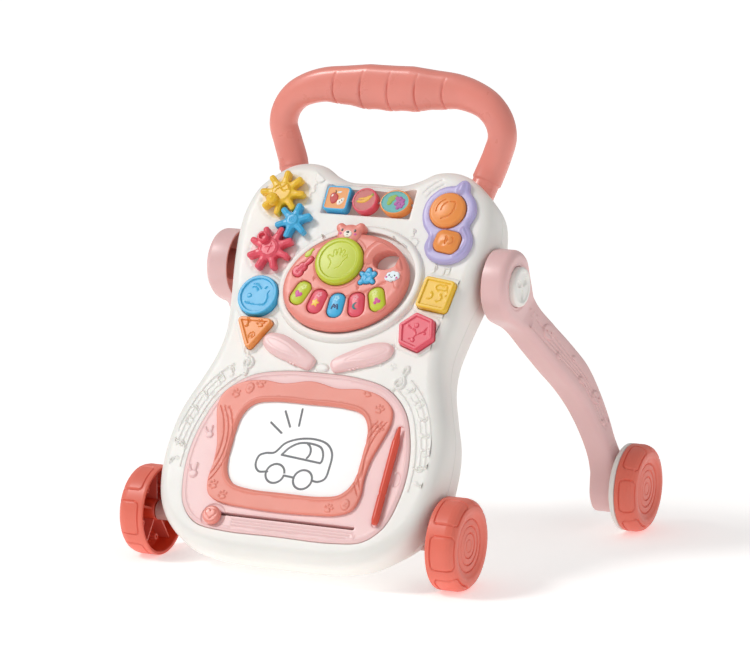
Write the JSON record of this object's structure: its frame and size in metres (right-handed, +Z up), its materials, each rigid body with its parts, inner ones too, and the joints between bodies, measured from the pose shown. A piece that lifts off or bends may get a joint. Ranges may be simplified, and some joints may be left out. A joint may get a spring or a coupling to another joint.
{
  "type": "baby walker",
  "caption": "Push-along baby walker with a leaning activity panel, loop handle, drawing board, turning gears and two folding splayed rear legs on wheels.",
  "frame": {"origin": "centre of the footprint box on the floor", "axes": "+Z up, +X across the walker, the play panel faces -Y and the rear wheels are at +Y"},
  "size_m": [0.5044, 0.413, 0.4874],
  "materials": {
    "white_plastic": "smooth moulded, satin gloss",
    "salmon_plastic": "smooth moulded, satin gloss",
    "pale_pink_plastic": "smooth moulded",
    "leg_pink_plastic": "smooth moulded",
    "wheel_red_plastic": "smooth moulded",
    "yellow_plastic": "smooth moulded",
    "blue_plastic": "smooth moulded",
    "crimson_plastic": "smooth moulded",
    "purple_plastic": "smooth moulded",
    "orange_plastic": "smooth moulded",
    "green_plastic": "smooth moulded",
    "screen_film": "translucent writing film over a cell grid",
    "steel": "drawn",
    "grey_plastic": "moulded",
    "circuit_green": "solder resist"
  },
  "bodies": {
    "body": {"front_shell": "white_plastic", "rear_shell": "white_plastic", "battery_box": "grey_plastic", "circuit_board": "circuit_green", "speaker": "grey_plastic", "tile_shaft": "steel", "bear_cover": "purple_plastic", "board_base": "pale_pink_plastic", "board_frame": "salmon_plastic", "drawing_screen": "screen_film", "handle": "salmon_plastic", "front_axle": "steel", "axle_sleeve_left": "pale_pink_plastic", "leg_spindle_left": "grey_plastic", "axle_sleeve_right": "pale_pink_plastic", "leg_spindle_right": "grey_plastic"},
    "front_wheel_left": {"front_wheel_left": "wheel_red_plastic"},
    "leg_left": {"leg_left": "leg_pink_plastic", "rear_axle_left": "steel"},
    "leg_knob_left": {"leg_knob_left": "white_plastic"},
    "rear_wheel_left": {"rear_wheel_left": "wheel_red_plastic", "rear_wheel_cover_left": "white_plastic"},
    "rabbit_ear_left": {"rabbit_ear_left": "pale_pink_plastic"},
    "front_wheel_right": {"front_wheel_right": "wheel_red_plastic"},
    "leg_right": {"leg_right": "leg_pink_plastic", "rear_axle_right": "steel"},
    "leg_knob_right": {"leg_knob_right": "white_plastic"},
    "rear_wheel_right": {"rear_wheel_right": "wheel_red_plastic", "rear_wheel_cover_right": "white_plastic"},
    "rabbit_ear_right": {"rabbit_ear_right": "pale_pink_plastic"},
    "yellow_gear": {"yellow_gear": "yellow_plastic"},
    "blue_gear": {"blue_gear": "blue_plastic"},
    "red_gear": {"red_gear": "crimson_plastic"},
    "apple_tile": {"apple_tile": "blue_plastic"},
    "banana_tile": {"banana_tile": "crimson_plastic"},
    "grape_tile": {"grape_tile": "orange_plastic"},
    "call_button": {"call_button": "orange_plastic"},
    "note_button": {"note_button": "orange_plastic"},
    "round_block": {"round_block": "blue_plastic"},
    "triangle_block": {"triangle_block": "orange_plastic"},
    "square_block": {"square_block": "yellow_plastic"},
    "hexagon_block": {"hexagon_block": "crimson_plastic"},
    "drum_button": {"drum_button": "green_plastic"},
    "violin_button": {"violin_button": "crimson_plastic"},
    "tambourine_button": {"tambourine_button": "blue_plastic"},
    "eraser_slider": {"eraser_slider": "salmon_plastic"},
    "magnet_pen": {"magnet_pen": "wheel_red_plastic"},
    "power_switch": {"power_switch": "wheel_red_plastic"},
    "battery_door": {"battery_door": "white_plastic"},
    "piano_key_1": {"piano_key_1": "green_plastic"},
    "piano_key_2": {"piano_key_2": "crimson_plastic"},
    "piano_key_3": {"piano_key_3": "blue_plastic"},
    "piano_key_4": {"piano_key_4": "crimson_plastic"},
    "piano_key_5": {"piano_key_5": "green_plastic"},
    "music_toy": {"toy_shell": "salmon_plastic", "toy_back": "salmon_plastic"}
  },
  "joints": [
    {"name": "front_wheel_spin_left", "type": "hinge", "parent": "body", "child": "front_wheel_left", "pos_m": [-0.157, -0.14453, 0.046], "axis": [1, 0, 0], "continuous": true},
    {"name": "leg_fold_left", "type": "hinge", "parent": "body", "child": "leg_left", "pos_m": [-0.144, 0.00411, 0.27812], "axis": [1, 0, 0], "range_deg": [-62, 0]},
    {"name": "leg_knob_turn_left", "type": "hinge", "parent": "leg_left", "child": "leg_knob_left", "pos_m": [-0.1672, 0.00411, 0.27812], "axis": [1, 0, 0], "range_deg": [0, 90]},
    {"name": "rear_wheel_spin_left", "type": "hinge", "parent": "leg_left", "child": "rear_wheel_left", "pos_m": [-0.2302, 0.16047, 0.046], "axis": [1, 0, 0], "continuous": true},
    {"name": "front_wheel_spin_right", "type": "hinge", "parent": "body", "child": "front_wheel_right", "pos_m": [0.157, -0.14453, 0.046], "axis": [1, 0, 0], "continuous": true},
    {"name": "leg_fold_right", "type": "hinge", "parent": "body", "child": "leg_right", "pos_m": [0.144, 0.00411, 0.27812], "axis": [1, 0, 0], "range_deg": [-62, 0]},
    {"name": "leg_knob_turn_right", "type": "hinge", "parent": "leg_right", "child": "leg_knob_right", "pos_m": [0.1672, 0.00411, 0.27812], "axis": [1, 0, 0], "range_deg": [0, 90]},
    {"name": "rear_wheel_spin_right", "type": "hinge", "parent": "leg_right", "child": "rear_wheel_right", "pos_m": [0.2302, 0.16047, 0.046], "axis": [1, 0, 0], "continuous": true},
    {"name": "yellow_gear_spin", "type": "hinge", "parent": "body", "child": "yellow_gear", "pos_m": [-0.09496, 0.00733, 0.35264], "axis": [0, -0.829, 0.5592], "continuous": true},
    {"name": "blue_gear_spin", "type": "hinge", "parent": "body", "child": "blue_gear", "pos_m": [-0.074, -0.00972, 0.32736], "axis": [0, -0.829, 0.5592], "continuous": true},
    {"name": "red_gear_spin", "type": "hinge", "parent": "body", "child": "red_gear", "pos_m": [-0.09154, -0.02794, 0.30035], "axis": [0, -0.829, 0.5592], "continuous": true},
    {"name": "apple_tile_turn", "type": "hinge", "parent": "body", "child": "apple_tile", "pos_m": [-0.0345, 0.00935, 0.35205], "axis": [1, 0, 0], "continuous": true},
    {"name": "banana_tile_turn", "type": "hinge", "parent": "body", "child": "banana_tile", "pos_m": [-0.003, 0.00935, 0.35205], "axis": [1, 0, 0], "continuous": true},
    {"name": "grape_tile_turn", "type": "hinge", "parent": "body", "child": "grape_tile", "pos_m": [0.0315, 0.00935, 0.35205], "axis": [1, 0, 0], "continuous": true},
    {"name": "call_button_press", "type": "slide", "parent": "body", "child": "call_button", "axis": [0, 0.829, -0.5592], "range_m": [0, 0.0025], "stiffness_N_per_m": 400, "springref_m": -0.001},
    {"name": "note_button_press", "type": "slide", "parent": "body", "child": "note_button", "axis": [0, 0.829, -0.5592], "range_m": [0, 0.0025], "stiffness_N_per_m": 400, "springref_m": -0.001},
    {"name": "music_toy_lift", "type": "slide", "parent": "body", "child": "music_toy", "axis": [0, -0.829, 0.5592], "range_m": [0, 0.03]},
    {"name": "drum_press", "type": "slide", "parent": "music_toy", "child": "drum_button", "axis": [0, 0.829, -0.5592], "range_m": [0, 0.002], "stiffness_N_per_m": 500, "springref_m": -0.001},
    {"name": "violin_press", "type": "slide", "parent": "music_toy", "child": "violin_button", "axis": [0, 0.829, -0.5592], "range_m": [0, 0.002], "stiffness_N_per_m": 300, "springref_m": -0.001},
    {"name": "tambourine_press", "type": "slide", "parent": "music_toy", "child": "tambourine_button", "axis": [0, 0.829, -0.5592], "range_m": [0, 0.002], "stiffness_N_per_m": 300, "springref_m": -0.001},
    {"name": "piano_key_press_1", "type": "slide", "parent": "music_toy", "child": "piano_key_1", "axis": [0, 0.829, -0.5592], "range_m": [0, 0.002], "stiffness_N_per_m": 300, "springref_m": -0.001},
    {"name": "piano_key_press_2", "type": "slide", "parent": "music_toy", "child": "piano_key_2", "axis": [0, 0.829, -0.5592], "range_m": [0, 0.002], "stiffness_N_per_m": 300, "springref_m": -0.001},
    {"name": "piano_key_press_3", "type": "slide", "parent": "music_toy", "child": "piano_key_3", "axis": [0, 0.829, -0.5592], "range_m": [0, 0.002], "stiffness_N_per_m": 300, "springref_m": -0.001},
    {"name": "piano_key_press_4", "type": "slide", "parent": "music_toy", "child": "piano_key_4", "axis": [0, 0.829, -0.5592], "range_m": [0, 0.002], "stiffness_N_per_m": 300, "springref_m": -0.001},
    {"name": "piano_key_press_5", "type": "slide", "parent": "music_toy", "child": "piano_key_5", "axis": [0, 0.829, -0.5592], "range_m": [0, 0.002], "stiffness_N_per_m": 300, "springref_m": -0.001},
    {"name": "round_block_lift", "type": "slide", "parent": "body", "child": "round_block", "axis": [0, -0.829, 0.5592], "range_m": [0, 0.016]},
    {"name": "triangle_block_lift", "type": "slide", "parent": "body", "child": "triangle_block", "axis": [0, -0.829, 0.5592], "range_m": [0, 0.016]},
    {"name": "square_block_lift", "type": "slide", "parent": "body", "child": "square_block", "axis": [0, -0.829, 0.5592], "range_m": [0, 0.016]},
    {"name": "hexagon_block_lift", "type": "slide", "parent": "body", "child": "hexagon_block", "axis": [0, -0.829, 0.5592], "range_m": [0, 0.016]},
    {"name": "rabbit_ear_swing_left", "type": "hinge", "parent": "body", "child": "rabbit_ear_left", "pos_m": [-0.015, -0.09436, 0.20187], "axis": [0, -0.829, 0.5592], "range_deg": [-5, 5]},
    {"name": "rabbit_ear_swing_right", "type": "hinge", "parent": "body", "child": "rabbit_ear_right", "pos_m": [0.015, -0.09436, 0.20187], "axis": [0, -0.829, 0.5592], "range_deg": [-5, 5]},
    {"name": "eraser_slide", "type": "slide", "parent": "body", "child": "eraser_slider", "axis": [1, 0, 0], "range_m": [0, 0.15]},
    {"name": "pen_lift", "type": "slide", "parent": "body", "child": "magnet_pen", "axis": [0, -0.829, 0.5592], "range_m": [0, 0.02]},
    {"name": "power_switch_slide", "type": "slide", "parent": "body", "child": "power_switch", "axis": [1, 0, 0], "range_m": [0, 0.005]},
    {"name": "battery_door_lift", "type": "slide", "parent": "body", "child": "battery_door", "axis": [0, 0.829, -0.5592], "range_m": [0, 0.012]}
  ],
  "couplings": [
    {"joint": "blue_gear_spin", "follows": "yellow_gear_spin", "ratio": -1.3333},
    {"joint": "red_gear_spin", "follows": "yellow_gear_spin", "ratio": 1}
  ]
}
